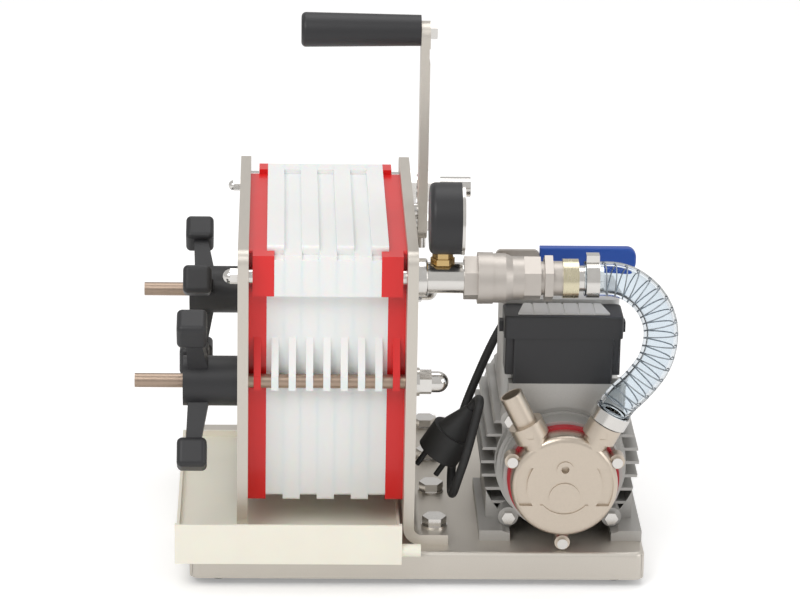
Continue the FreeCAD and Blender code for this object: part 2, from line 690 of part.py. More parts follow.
def make_inlet_pipe():
    flange = rod("inlet_flange", (frame_right, line_y, line_z), d.flange_across, d.flange_thick, "+X")
    edge_x = (frame_right + d.flange_thick).value - 0.1
    soft = round_edges("inlet_flange_soft", flange, d.lid_lip, circle_at("x", lambda x: x > edge_x))
    pipe = rod("inlet_tube", (frame_right, line_y, line_z), d.pipe_across, pipe_right - frame_right, "+X")
    bored("inlet_pipe", [soft, pipe], frame_right, pipe_right, d.line_bore)


def make_gauge():
    foot = line_z + d.pipe_across / 2
    centre = line_z + d.gauge_rise
    case_across = d.gauge_across - d.bezel_lip
    case_long = d.gauge_deep - d.bezel_thick
    base = hexagon("gauge_stem_base", (d.gauge_x, line_y, foot), d.gauge_base_hex, d.gauge_base_tall)
    stem = hexagon("gauge_stem_neck", (d.gauge_x, line_y, foot), d.gauge_stem_hex,
                   centre - case_across / 4 - foot)
    room = rod("gauge_room", (d.gauge_left, line_y, centre), case_across + d.fit_gap, case_long, "+X")
    pipe = rod("gauge_pipe_room", (frame_right, line_y, line_z), d.pipe_across, pipe_right - frame_right,
               "+X")
    node("gauge_stem", cut("gauge_stem", fuse("gauge_stem_hex", [base, stem]), [room, pipe]))
    case = rod("gauge_can", (d.gauge_left, line_y, centre), case_across, case_long, "+X")
    near = d.gauge_left.value + 1
    node("gauge_case", round_edges("gauge_case", case, d.case_round, circle_at("x", lambda x: x < near)))
    bezel_left = d.gauge_left + case_long
    bezel = rod("gauge_rim", (bezel_left, line_y, centre), d.gauge_across, d.bezel_thick, "+X")
    face = rod("gauge_face", (bezel_left + d.bezel_thick - d.bezel_lip, line_y, centre),
               d.gauge_across - d.bezel_lip * 4, d.bezel_lip, "+X")
    node("gauge_bezel", cut("gauge_bezel", bezel, [face]))


def make_valve():
    """A two-piece ball valve: ridge, barrel and domed back between two hexagons."""
    runs = [("hex_left", d.valve_hex, d.valve_hex_left), ("ridge", d.ridge_across, d.ridge_long),
            ("barrel", d.barrel_across, d.barrel_long), ("groove", d.groove_across, d.groove_long),
            ("back", d.back_across, d.back_long), ("dome", d.back_across, d.dome_long)]
    x = valve_left
    pieces = []
    for name, across, long in runs:
        at = (x, line_y, line_z)
        if name == "hex_left":
            pieces.append(hexagon("valve_" + name, at, across, long, "+X"))
        elif name == "dome":
            pieces.append(cone("valve_" + name, at, across, d.neck_across, long, "+X"))
        else:
            pieces.append(rod("valve_" + name, at, across, long, "+X"))
        x = x + long
    hex_left = valve_right - d.valve_hex_right
    pieces.append(rod("valve_neck", (x, line_y, line_z), d.neck_across, hex_left - x, "+X"))
    pieces.append(hexagon("valve_hex_right", (hex_left, line_y, line_z), d.valve_hex,
                          d.valve_hex_right, "+X"))
    pieces.append(rod("valve_bonnet", (d.stem_x, line_y, line_z), d.stem_across * 2,
                      d.back_across / 2 + d.stem_across / 2, "+Y"))
    bored("valve_body", pieces, valve_left, valve_right, d.line_bore)


def make_lever():
    """The blue-sleeved lever on the far side of the valve."""
    start = line_y + d.back_across / 2 + d.stem_across / 2
    stem = rod("lever_stem", (d.stem_x, start, line_z), d.stem_across, d.stem_long, "+Y")
    face = start + d.stem_long
    tang_left = d.stem_x - d.lever_wide / 2
    tang = box("lever_tang", (tang_left, face, line_z - d.lever_wide / 2), d.sleeve_left - tang_left,
               d.lever_thick, d.lever_wide)
    flat = round_edges("lever_flat", tang, d.lever_wide / 3, along("y"))
    node("valve_lever", fuse("valve_lever", [stem, flat]))
    front = face - (d.sleeve_thick - d.lever_thick) / 2
    grip = box("sleeve_block", (d.sleeve_left, front, line_z - d.sleeve_wide / 2), d.sleeve_long,
               d.sleeve_thick, d.sleeve_wide)
    far = (d.sleeve_left + d.sleeve_long).value - 0.1
    ended = round_edges("sleeve_ended", grip, d.sleeve_end,
                        lambda edge: along("y")(edge) and middle_of(edge).x > far)
    node("lever_sleeve", round_edges("lever_sleeve", ended, d.lid_lip, lambda edge: not along("y")(edge)))


def make_line_end():
    neck = rod("nipple_neck", (valve_right, line_y, line_z), d.nipple_across, d.nipple_neck, "+X")
    flats_left = valve_right + d.nipple_neck
    flats = hexagon("nipple_flats", (flats_left, line_y, line_z), d.nipple_hex, d.nipple_hex_long, "+X")
    thread_left = flats_left + d.nipple_hex_long
    thread = rod("nipple_thread", (thread_left, line_y, line_z), d.nipple_thread,
                 nipple_right - thread_left, "+X")
    bored("hex_nipple", [neck, flats, thread], valve_right, nipple_right, d.line_bore)
    nut = rod("union_ring", (nipple_right, line_y, line_z), d.union_across, d.union_long, "+X")
    bored("union_nut", [nut], nipple_right, union_right, d.line_bore)


# ---------------------------------------------------------------- drip tray

def make_tray():
    """A shallow moulded tray under the plates with a gutter and spout along its front."""
    wall = d.tray_wall
    floor = base_top
    gutter_back = d.base_front - d.tray_edge_gap
    gutter_low = floor - d.tray_drop
    long = d.tray_right - d.tray_left
    body = body_at("tray_body", (d.tray_left, 0, 0))
    shape = [(d.tray_front, gutter_low), (gutter_back, gutter_low), (gutter_back, floor),
             (d.tray_back, floor), (d.tray_back, d.tray_rim),
             (d.tray_front + d.tray_slope_deep, d.tray_rim), (d.tray_front + wall * 2, d.tray_front_top),
             (d.tray_front, d.tray_front_top)]
    pad(body, "tray_slab", outline(body, "tray_outline", "YZ_Plane", shape), long)
    inside = [(d.tray_front + wall, gutter_low + wall), (gutter_back - wall, gutter_low + wall),
              (gutter_back - wall, floor + wall), (d.tray_back - wall, floor + wall),
              (d.tray_back - wall, d.tray_front_top + wall), (d.tray_front + wall, d.tray_front_top + wall)]
    hollow = outline(body, "tray_inside", "YZ_Plane", inside, offset=wall)
    pocket(body, "tray_hollow", hollow, long - wall * 2, reverse=True)
    z = floor + d.spout_across / 2 - d.fit_gap
    y = d.tray_front + d.spout_across / 2 + wall / 2
    spout = rod("tray_spout", (d.tray_right - wall, y, z), d.spout_across, d.spout_long + wall, "+X")
    bore = rod("tray_spout_way", (d.tray_right - wall * 2, y, z), d.spout_bore,
               d.spout_long + wall * 3, "+X")
    node("drip_tray", cut("drip_tray", fuse("tray_whole", [body, spout]), [bore]))


# ---------------------------------------------------------------- outlet

def make_outlet():
    y = port_sides["back"]
    z = d.back_port_height
    first = hexagon("outlet_first", (frame_right, y, z), d.outlet_hex, d.outlet_hex_long, "+X")
    x = frame_right + d.outlet_hex_long
    neck = rod("outlet_neck", (x, y, z), d.outlet_body, d.outlet_body_long, "+X")
    x = x + d.outlet_body_long
    nut = hexagon("outlet_nut", (x, y, z), d.outlet_nut, d.outlet_nut_long, "+X")
    x = x + d.outlet_nut_long
    tail = rod("outlet_barb", (x, y, z), d.outlet_tail, d.outlet_tail_long, "+X")
    way = rod("outlet_way", (frame_right, y, z), d.outlet_bore,
              x + d.outlet_tail_long - frame_right, "+X")
    tube = cut("outlet_tube", fuse("outlet_solid", [first, neck, nut, tail]), [way])
    rings = [port_ring(side, d.frame_face, "right") for side in port_sides]
    node("outlet_tail", group("outlet_tail", [tube] + rings))


# ---------------------------------------------------------------- motor

def make_motor():
    """A finned aluminium frame: level fins on its sides, upright ones on top."""
    x = motor_x
    z = d.motor_height
    core = rod("motor_core", (x, d.motor_front, z), d.motor_core, d.motor_long, "+Y")
    fins = []
    half = d.motor_across / 2
    for i in range(-FIN_HALF, FIN_HALF + 1):
        level = z + d.fin_pitch * i - d.motor_fin / 2
        fins.append(box("level_fin_%d" % (i + FIN_HALF), (x - half, d.motor_front, level), d.motor_across,
                        d.motor_long, d.motor_fin))
        across = x + d.fin_pitch * i - d.motor_fin / 2
        fins.append(box("upright_fin_%d" % (i + FIN_HALF), (across, d.motor_front, z), d.motor_fin,
                        d.motor_long, half))
    envelope = rod("motor_envelope", (x, d.motor_front, z), d.motor_across, d.motor_long, "+Y")
    trimmed = common("motor_fins", fuse("motor_fin_grid", fins), envelope)
    node("motor_body", fuse("motor_body", [core, trimmed]))


def make_shield():
    x = motor_x
    z = d.motor_height
    ring = rod("shield_ring", (x, d.motor_front, z), d.shield_across, d.shield_thick - d.shield_step, "-Y")
    disc = rod("shield_disc", (x, d.motor_front, z), d.shield_across - d.shield_step * 2,
               d.shield_thick, "-Y")
    lugs = []
    bolts = []
    for i, dx in enumerate((-1, 1)):
        for j, dz in enumerate((-1, 1)):
            spot_x = x + d.tie_bolt_span / 2 * dx
            spot_z = z + d.tie_bolt_span / 2 * dz
            lugs.append(rod("bolt_lug_%d%d" % (i, j), (spot_x, d.motor_front, spot_z), d.bolt_lug,
                            d.shield_thick, "-Y"))
            bolts.append(hexagon("tie_bolt_%d%d" % (i, j), (spot_x, d.motor_front - d.shield_thick, spot_z),
                                 d.tie_bolt_hex, d.tie_bolt_tall, "-Y"))
    node("motor_front_shield", fuse("motor_front_shield", [ring, disc] + lugs))
    node("motor_tie_bolts", group("motor_tie_bolts", bolts))
    back = d.motor_front + d.motor_long
    cowl = rod("cowl_can", (x, back, z), d.cowl_across, d.cowl_long, "+Y")
    far = back.value + 1
    node("motor_fan_cowl", round_edges("motor_fan_cowl", cowl, d.cowl_round,
                                       circle_at("y", lambda y: y > far)))


def make_saddle():
    """The flat grey panel that stands on the shield and carries the terminal box."""
    panel = box("saddle_panel", (motor_x - d.saddle_wide / 2, d.box_front, d.motor_height), d.saddle_wide,
                d.motor_front - d.box_front, d.box_bottom - d.motor_height)
    reach = d.shield_across + d.fit_gap * 2
    way = rod("saddle_way", (motor_x, d.box_front, d.motor_height), reach,
              d.motor_front - d.box_front, "+Y")
    tools = [way]
    for i, side in enumerate((-1, 1)):
        lug_x = motor_x + d.tie_bolt_span / 2 * side
        lug_z = d.motor_height + d.tie_bolt_span / 2
        tools.append(rod("saddle_lug_way_%d" % i, (lug_x, d.box_front, lug_z), d.bolt_lug + d.fit_gap * 2,
                         d.motor_front - d.box_front, "+Y"))
        left = motor_x - d.shield_across if side < 0 else motor_x + d.tie_bolt_span / 2 + d.bolt_lug / 4
        tools.append(box("saddle_low_%d" % i, (left, d.box_front, d.motor_height),
                         d.shield_across - d.tie_bolt_span / 2 - d.bolt_lug / 4,
                         d.motor_front - d.box_front, d.tie_bolt_span / 2))
    node("motor_saddle", cut("motor_saddle", panel, tools))


def make_motor_feet():
    feet = []
    rooms = [rod("feet_clearance", (motor_x, d.motor_foot_front, d.motor_height),
                 d.motor_across + d.fit_gap, d.motor_foot_deep, "+Y")]
    for i, side in enumerate((-1, 1)):
        middle = motor_x + d.motor_foot_span / 2 * side - d.motor_foot_wide / 2 * side
        left = middle - d.motor_foot_wide / 2
        flat = box("motor_foot_%d" % i, (left, d.motor_foot_front, base_top), d.motor_foot_wide,
                   d.motor_foot_deep, d.motor_foot_thick)
        web = box("motor_web_%d" % i, (middle - d.motor_foot_wide / 4, d.motor_front, base_top),
                  d.motor_foot_wide / 2, d.motor_foot_deep + d.motor_foot_front - d.motor_front,
                  d.motor_height - base_top)
        feet.append(fuse("motor_foot_whole_%d" % i, [flat, web]))
        lug_at = (motor_x + d.tie_bolt_span / 2 * side, d.motor_foot_front,
                  d.motor_height - d.tie_bolt_span / 2)
        rooms.append(rod("foot_lug_room_%d" % i, lug_at, d.bolt_lug + d.fit_gap * 2,
                         d.motor_front - d.motor_foot_front, "+Y"))
    node("motor_feet", cut("motor_feet", fuse("motor_feet_pair", feet), rooms))


# ---------------------------------------------------------------- terminal box

def make_terminal_box():
    """A black box with a clipped lid, in front of a light grey housing on the motor's saddle."""
    case = box("terminal_case", (box_left + d.ear_wide, d.box_front, d.box_bottom),
               d.box_long - d.ear_wide * 2, d.box_deep, d.box_tall)
    ears = box("terminal_ears", (box_left, d.box_front + d.ear_back, d.box_bottom + d.ear_rise),
               d.box_long, d.box_deep - d.ear_back, d.box_tall - d.ear_rise)
    shell = [round_edges("terminal_case_round", case, d.box_round / 2, along("z")),
             round_edges("terminal_ears_round", ears, d.box_round / 2, along("z"))]
    node("terminal_box", fuse("terminal_box", shell))
    low = d.box_bottom + d.box_tall
    lid = box("lid_block", (box_left - d.lid_lip, d.box_front - d.lid_lip, low),
              d.box_long + d.lid_lip * 2, d.box_deep + d.lid_lip, d.lid_tall)
    rounded = round_edges("lid_sides", lid, d.box_round, along("z"))
    top = (low + d.lid_tall).value
    soft = round_edges("lid_soft", rounded, d.box_round / 2, lambda edge: middle_of(edge).z > top - 0.1)
    clips = box("lid_clips", (box_left - d.lid_lip - d.clip_wide, d.box_front + d.box_deep / 2, low),
                d.box_long + (d.lid_lip + d.clip_wide) * 2, d.clip_tall, d.clip_tall)
    node("terminal_lid", fuse("terminal_lid", [soft, clips]))


def make_lid_cover():
    """The grooved grey cover on top of the box, wider at its front."""
    low = d.box_bottom + d.box_tall + d.lid_tall
    left = box_left + d.cover_inset
    long = d.box_long - d.cover_inset * 2
    body = body_at("cover_body", (left, d.box_front + d.box_round, low))
    shape = [(0, 0), (long, 0), (long - d.cover_slant, d.cover_deep), (d.cover_slant, d.cover_deep)]
    pad(body, "cover_pad", outline(body, "cover_outline", "XY_Plane", shape), d.cover_tall)
    grooves = []
    for i in range(COVER_GROOVES):
        x = left + long * (i + 1) / (COVER_GROOVES + 1) - d.cover_tall / 2
        grooves.append(box("cover_groove_%d" % i, (x, d.box_front, low + d.cover_tall / 2), d.cover_tall,
                           d.box_deep, d.cover_tall))
    node("lid_cover", cut("lid_cover", body, grooves))


def make_housing():
    left = box_left + d.box_long / 2 - d.housing_wide / 2
    front = d.box_front + d.box_deep
    block = box("housing_block", (left, front, d.motor_height), d.housing_wide, d.housing_deep,
                d.housing_top - d.motor_height)
    rounded = round_edges("housing_sides", block, d.housing_round, along("z"))
    clear = rod("housing_clear", (motor_x, d.box_front, d.motor_height),
                d.motor_across + d.fit_gap * 2, d.housing_deep * 2, "+Y")
    low = box("housing_low", (left, d.box_front, d.motor_height), d.housing_wide, d.housing_deep * 2,
              d.motor_across / 4)
    node("wiring_housing", cut("wiring_housing", rounded, [clear, low]))
    node("cord_gland", cone("cord_gland", (d.gland_x, front + d.housing_deep, d.gland_height),
                            d.gland_across, d.cord_across + d.fit_gap * 6, d.gland_long, "+Y"))


# ---------------------------------------------------------------- pump

def slanted(name, side, start, across, long):
    """A round piece along one of the pump's two leaning port arms."""
    lean = math.radians(d.arm_lean.value) * side
    direction = FreeCAD.Vector(math.sin(lean), 0, math.cos(lean))
    at = (motor_x + start * direction.x, d.arm_y,
          d.motor_height - d.arm_drop + start * direction.z)
    return rod(name, at, across, long, direction)


def crescents():
    """The two sickle-shaped recesses at the sides of the cover."""
    at = (motor_x, d.pump_front, d.motor_height)
    outer = rod("crescent_outer", at, d.crescent_out * 2, d.crescent_deep, "+Y")
    inner = rod("crescent_inner", at, d.crescent_in * 2, d.crescent_deep, "+Y")
    band = box("crescent_band", (motor_x - d.pump_across, d.pump_front, d.motor_height - d.crescent_half),
               d.pump_across * 2, d.crescent_deep, d.crescent_half * 2)
    return common("crescents", cut("crescent_ring", outer, [inner]), band)


def ridge():
    """The curved rib low down on the cover."""
    at = (motor_x, d.pump_front, d.motor_height)
    outer = rod("ridge_outer", at, (d.ridge_radius + d.ridge_wide) * 2, d.relief, "-Y")
    inner = rod("ridge_inner", at, d.ridge_radius * 2, d.relief, "-Y")
    band = box("ridge_band", (motor_x - d.pump_across, d.pump_front - d.relief,
                              d.motor_height - d.pump_across), d.pump_across * 2, d.relief,
               d.pump_across - d.drain_rise)
    return common("ridge", cut("ridge_ring", outer, [inner]), band)


def make_pump():
    x = motor_x
    z = d.motor_height
    face = d.motor_front - d.shield_thick
    ring_front = d.pump_front + d.pump_thick
    adapter = rod("adapter_disc", (x, face, z), d.pump_body_across, face - ring_front - d.ring_thick, "-Y")
    ring = rod("gasket_disc", (x, ring_front + d.ring_thick, z), d.ring_across, d.ring_thick, "-Y")
    for name, disc in (("pump_adapter", adapter), ("pump_gasket", ring)):
        rooms = [slanted("%s_room_%d" % (name, side), side, d.arm_long - d.fit_gap,
                         d.collar_across + d.fit_gap * 2, d.collar_long + d.fit_gap * 2)
                 for side in (-1, 1)]
        node(name, cut(name, disc, rooms))
    disc = rod("pump_disc", (x, ring_front, z), d.pump_across, d.pump_thick, "-Y")
    edge_y = d.pump_front.value + 1
    pieces = [round_edges("pump_rounded", disc, d.pump_round, circle_at("y", lambda y: y < edge_y))]
    for name, side in (("suction", -1), ("discharge", 1)):
        arm = slanted("arm_" + name, side, size(0), d.arm_across, d.arm_long)
        pieces.append(arm)
    keep = box("pump_front_half", (x - d.pump_across, d.pump_front - d.pump_thick, z - d.pump_across),
               d.pump_across * 2, d.pump_thick * 2, d.pump_across * 2)
    screws = []
    rooms = []
    low_spot = (x, ring_front, z - d.pump_low_screw)
    spots = [low_spot]
    turn = math.radians(SCREW_TURN)
    for side in (-1, 1):
        spots.append((x + d.pump_screw_circle / 2 * math.cos(turn) * side, ring_front,
                      z + d.pump_screw_circle / 2 * math.sin(turn)))
    for i, spot in enumerate(spots):
        pieces.append(rod("pump_ear_%d" % i, spot, d.ear_across, d.ear_thick, "-Y"))
        head = (spot[0], ring_front - d.ear_thick, spot[2])
        screws.append(rod("pump_screw_%d" % i, head, d.pump_screw, d.pump_screw_tall, "-Y"))
        rooms.append(rod("pump_screw_room_%d" % i, head, d.pump_screw + d.fit_gap * 2,
                         d.pump_thick, "-Y"))
    pieces.append(rod("drain_boss", (x, ring_front, z + d.drain_rise), d.drain_boss,
                      d.pump_thick + d.relief, "-Y"))
    pieces.append(rod("centre_disc", (x, ring_front, z - d.disc_drop), d.disc_across,
                      d.pump_thick + d.relief, "-Y"))
    pieces.append(ridge())
    whole = common("pump_cover_form", fuse("pump_cover_whole", pieces), keep)
    drain = rod("drain_hole", (x, d.pump_front - d.relief, z + d.drain_rise), d.drain_across,
                d.pump_round, "+Y")
    node("pump_cover", cut("pump_cover", whole, [drain, crescents()] + rooms))
    node("pump_screws", group("pump_screws", screws))


def make_pump_ports():
    collars = []
    for name, side in (("suction", -1), ("discharge", 1)):
        ring = slanted("collar_ring_" + name, side, d.arm_long, d.collar_across, d.collar_long)
        middle = d.arm_long + d.collar_long / 2
        lean = math.radians(d.arm_lean.value) * side
        x = motor_x + middle * math.sin(lean) - d.mark_wide / 2
        z = d.motor_height - d.arm_drop + middle * math.cos(lean) - d.mark_wide / 2
        mark = box("collar_mark_" + name, (x, d.arm_y - d.collar_across / 2, z), d.mark_wide, d.mark_deep,
                   d.mark_wide)
        collars.append(cut("collar_" + name, ring, [mark]))
    node("port_collars", group("port_collars", collars))
    start = d.arm_long + d.collar_long
    tube = slanted("suction_tube", -1, start, d.tail_across, d.tail_long)
    way = slanted("suction_way", -1, start, d.tail_bore, d.tail_long)
    node("suction_tail", cut("suction_tail", tube, [way]))
    barb = slanted("discharge_tube", 1, start, hose_bore - d.fit_gap, d.low_barb_long)
    way = slanted("discharge_way", 1, start, d.barb_bore, d.low_barb_long)
    node("discharge_tail", cut("discharge_tail", barb, [way]))


# ---------------------------------------------------------------- hose and cord

def vector(point):
    return FreeCAD.Vector(*[size(part).value for part in point])


def rounded_path(points, share=0.48):
    """Straight runs joined by tangent arcs, each as large as its shorter run allows."""
    edges = []
    radii = []
    last = points[0]
    for before, corner, after in zip(points, points[1:], points[2:]):
        back = (before - corner)
        ahead = (after - corner)
        reach = share * min(back.Length, ahead.Length)
        back.normalize()
        ahead.normalize()
        half = (math.pi - back.getAngle(ahead)) / 2
        radius = reach / math.tan(half)
        bisector = back + ahead
        bisector.normalize()
        start = corner + back * reach
        middle = corner + bisector * (radius / math.cos(half) - radius)
        end = corner + ahead * reach
        edges.append(Part.LineSegment(last, start).toShape())
        edges.append(Part.Arc(start, middle, end).toShape())
        radii.append(radius)
        last = end
    edges.append(Part.LineSegment(last, points[-1]).toShape())
    return Part.Wire(edges), radii


def swept(path, across):
    """A round bar along a path, checked against its section times its length."""
    start = path.Edges[0]
    direction = start.tangentAt(start.FirstParameter)
    ring = Part.Wire(Part.makeCircle(across / 2, path.OrderedVertexes[0].Point, direction))
    bar = path.makePipeShell([ring], True, True)
    expected = math.pi * across ** 2 / 4 * path.Length
    if abs(bar.Volume - expected) > expected * 0.01:
        raise ValueError("a swept bar has the wrong volume")
    return bar


def on_discharge(distance):
    """A point on the axis of the right-hand pump arm."""
    lean = math.radians(d.arm_lean.value)
    return FreeCAD.Vector(motor_x.value + distance * math.sin(lean), d.arm_y.value,
                          (d.motor_height - d.arm_drop).value + distance * math.cos(lean))


def hose_route():
    """From the union on the inlet line over and down to the pump's discharge arm."""
    start = vector((union_right + d.hose_start_gap, line_y, line_z))
    low = on_discharge((d.arm_long + d.collar_long + d.fit_gap).value)
    bends = [FreeCAD.Vector(*point) for point in HOSE_BENDS]
    return [start] + bends + [on_discharge(d.hose_turn.value), low]


def make_hose():
    path, radii = rounded_path(hose_route())
    outer = swept(path, d.hose_across.value)
    inner = swept(path, hose_bore.value)
    hose = doc.addObject("Part::Feature", "hose")
    hose.Shape = outer.cut(inner)
    node("hose", hose)
    print("hose %.0f mm long, arcs of %s mm" % (path.Length, [round(radius) for radius in radii]))
    tail = rod("hose_tail_tube", (union_right, line_y, line_z), hose_bore - d.fit_gap,
               d.hose_start_gap + d.barb_long, "+X")
    way = rod("hose_tail_way", (union_right, line_y, line_z), d.barb_bore,
              d.hose_start_gap + d.barb_long, "+X")
    node("hose_tail", cut("hose_tail", tail, [way]))


def make_clamps():
    """Two worm clamps, each a band with a screw housing on its outside."""
    band = d.hose_across + d.clamp_thick * 2
    inner = d.hose_across + d.fit_gap
    left = union_right + d.hose_start_gap + d.clamp_inset
    ring = rod("top_band", (left, line_y, line_z), band, d.clamp_wide, "+X")
    screw = box("top_screw", (left, line_y - d.clamp_box_wide / 2, line_z + d.hose_across / 2),
                d.clamp_wide, d.clamp_box_wide, d.clamp_box_tall)
    hole = rod("top_band_hole", (left, line_y, line_z), inner, d.clamp_wide, "+X")
    node("hose_clamp_top", cut("hose_clamp_top", fuse("top_clamp", [ring, screw]), [hole]))
    start = d.arm_long + d.collar_long + d.clamp_inset
    ring = slanted("low_band", 1, start, band, d.clamp_wide)
    hole = slanted("low_band_hole", 1, start, inner, d.clamp_wide)
    node("hose_clamp_low", cut("hose_clamp_low", ring, [hole]))


def cord_route():
    """Out of the gland behind the housing, down to the frame's foot and up over the plug."""
    exit_point = vector((d.gland_x, d.box_front + d.box_deep + d.housing_deep + d.gland_long,
                         d.gland_height))
    return [exit_point] + [FreeCAD.Vector(*point) for point in CORD_POINTS] + [FreeCAD.Vector(*PLUG_TIP)]


def plug_piece(name, start, across, long, far_across=None, off_axis=0.0):
    """A round piece of the plug, measured from the tip of its neck along its axis."""
    direction = FreeCAD.Vector(*PLUG_AXIS)
    direction.normalize()
    sideways = direction.cross(FreeCAD.Vector(0, 1, 0))
    sideways.normalize()
    at = FreeCAD.Vector(*PLUG_TIP) + direction * size(start).value + sideways * off_axis
    if far_across is None:
        return rod(name, at, across, long, direction)
    return cone(name, at, across, far_across, long, direction)


def make_cord():
    path, radii = rounded_path(cord_route())
    cord = doc.addObject("Part::Feature", "cord")
    cord.Shape = swept(path, d.cord_across.value)
    node("cord", cord)
    print("cord %.0f mm long, arcs of %s mm" % (path.Length, [round(radius) for radius in radii]))
    neck = plug_piece("plug_neck", 0, d.cord_across + d.fit_gap * 6, d.plug_neck, d.plug_across * 0.8)
    head = plug_piece("plug_head", d.plug_neck, d.plug_across, d.plug_long)
    pins = []
    for i, side in enumerate((-1, 1)):
        pins.append(plug_piece("plug_pin_%d" % i, d.plug_neck + d.plug_long, d.pin_across, d.pin_long,
                               off_axis=side * d.pin_span.value / 2))
    node("plug", fuse("plug", [neck, head] + pins))


def check_and_export():
    doc.recompute()
    for thing in doc.Objects:
        if "Invalid" in thing.State or "Error" in thing.State:
            raise ValueError("%s did not compute" % thing.Name)
    os.makedirs("parts", exist_ok=True)
    for thing in nodes:
        shape = thing.Shape
        if shape.isNull() or not shape.isValid():
            raise ValueError("%s has no valid shape" % thing.Label)
        shape.exportStep("parts/%s.step" % thing.Label)
    print("%d sub-parts written" % len(nodes))


def main():
    make_base()
    make_feet()
    make_frame_plate()
    make_foot_bolts()
    make_pressing_plate()
    make_port_caps()
    make_plates()
    make_tie_rods()
    make_rod_nuts()
    for side, turn in KNOB_TURNS.items():
        make_knob(side, turn)
    make_handle()
    make_inlet_pipe()
    make_gauge()
    make_valve()
    make_lever()
    make_line_end()
    make_tray()
    make_outlet()
    make_motor()
    make_shield()
    make_saddle()
    make_motor_feet()
    make_terminal_box()
    make_lid_cover()
    make_housing()
    make_pump()
    make_pump_ports()
    make_hose()
    make_clamps()
    make_cord()
    check_and_export()


main()
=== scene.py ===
# %% [markdown]
# # A tabletop plate filter press, dressed for a studio shot
#
# The press squeezes seven white filter plates between two red ones. Two star knobs on threaded
# rods do the squeezing, and a small motor with a pump feeds wine in through a clear hose, a ball
# valve and a port with a gauge.
#
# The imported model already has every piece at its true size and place, so this lesson does three
# things: it stands a camera and lights around that model, it gives each piece the finish of its
# real material, and it adds what is too fine for solids: a wire spiral in the hose, a tapered
# sleeve on the cord and a printed dial. Every new surface is a grid of points.

# %% The frame
import math

import bpy
import numpy as np
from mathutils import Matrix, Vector


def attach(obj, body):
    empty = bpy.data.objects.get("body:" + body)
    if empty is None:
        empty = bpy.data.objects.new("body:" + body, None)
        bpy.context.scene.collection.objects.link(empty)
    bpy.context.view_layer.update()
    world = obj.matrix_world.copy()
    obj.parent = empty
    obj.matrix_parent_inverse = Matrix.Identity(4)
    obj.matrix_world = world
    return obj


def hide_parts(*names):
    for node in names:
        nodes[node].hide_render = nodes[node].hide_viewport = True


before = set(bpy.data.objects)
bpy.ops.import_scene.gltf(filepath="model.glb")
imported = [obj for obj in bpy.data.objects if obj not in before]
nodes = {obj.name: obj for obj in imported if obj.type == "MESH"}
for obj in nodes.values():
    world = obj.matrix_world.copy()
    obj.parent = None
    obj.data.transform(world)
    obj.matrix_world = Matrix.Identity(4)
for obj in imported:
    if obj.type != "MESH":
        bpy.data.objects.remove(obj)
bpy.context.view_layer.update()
PLATES = [name for name in nodes if name.startswith("filter_plate_")]

# %% [markdown]
# ## The camera
#
# The picture is taken with a long lens from a little above, almost square to the front, so
# upright edges lean together only slightly. A long lens far away keeps a machine's proportions
# honest. We write the camera's place in metres and its three turns in degrees.

# %% Camera
CAMERA_PLACE = (-0.1092, -3.0578, 1.2632)
CAMERA_TURNS = (70.82, -0.99, -1.68)
LENS = 167.9

camera_data = bpy.data.cameras.new("camera")
camera_data.lens = LENS
camera_data.sensor_width = 36.0
camera_data.clip_end = 50.0
camera = bpy.data.objects.new("camera", camera_data)
camera.location = CAMERA_PLACE
camera.rotation_euler = [math.radians(turn) for turn in CAMERA_TURNS]
bpy.context.scene.collection.objects.link(camera)
bpy.context.scene.camera = camera
print("camera at", CAMERA_PLACE, "with a", LENS, "mm lens")

# %% [markdown]
# ## Light and floor
#
# A product shot on white is lit by a big bright room. The world gives an even light, and a large
# soft lamp above and in front adds the direction that shows form. The world is seen as pure
# white by the camera and through the clear hose, but lights the object at a calmer level.

# %% World and lamps
scene = bpy.context.scene
scene.view_settings.view_transform = "Standard"
ROOM_LEVEL = 0.62


def new_nodes(owner):
    """Clears an owner's node tree and returns the tree."""
    owner.use_nodes = True
    owner.node_tree.nodes.clear()
    return owner.node_tree


world = bpy.data.worlds.new("studio")
scene.world = world
tree = new_nodes(world)
path = tree.nodes.new("ShaderNodeLightPath")
seen = tree.nodes.new("ShaderNodeMath")
seen.operation = "MAXIMUM"
tree.links.new(path.outputs["Is Camera Ray"], seen.inputs[0])
tree.links.new(path.outputs["Is Transmission Ray"], seen.inputs[1])
room = tree.nodes.new("ShaderNodeBackground")
room.inputs["Strength"].default_value = ROOM_LEVEL
white = tree.nodes.new("ShaderNodeBackground")
white.inputs["Strength"].default_value = 1.0
mix = tree.nodes.new("ShaderNodeMixShader")
out = tree.nodes.new("ShaderNodeOutputWorld")
room.inputs["Color"].default_value = (1.0, 0.99, 0.98, 1.0)
white.inputs["Color"].default_value = (1.0, 1.0, 1.0, 1.0)
tree.links.new(seen.outputs[0], mix.inputs[0])
tree.links.new(room.outputs[0], mix.inputs[1])
tree.links.new(white.outputs[0], mix.inputs[2])
tree.links.new(mix.outputs[0], out.inputs["Surface"])


def soft_lamp(name, place, size, power):
    """A square area lamp that faces the middle of the press."""
    data = bpy.data.lights.new(name, "AREA")
    data.size = size
    data.energy = power
    lamp = bpy.data.objects.new(name, data)
    lamp.location = place
    aim = Vector((0.0, 0.0, 0.15)) - Vector(place)
    lamp.rotation_euler = aim.to_track_quat("-Z", "Y").to_euler()
    scene.collection.objects.link(lamp)
    return lamp


soft_lamp("key", (-1.1, -1.8, 2.2), 1.4, 26.0)
soft_lamp("fill", (1.9, -1.2, 1.0), 1.2, 8.0)
soft_lamp("top", (0.2, 0.6, 2.4), 1.6, 14.0)
print("world at", ROOM_LEVEL, "with three soft lamps")

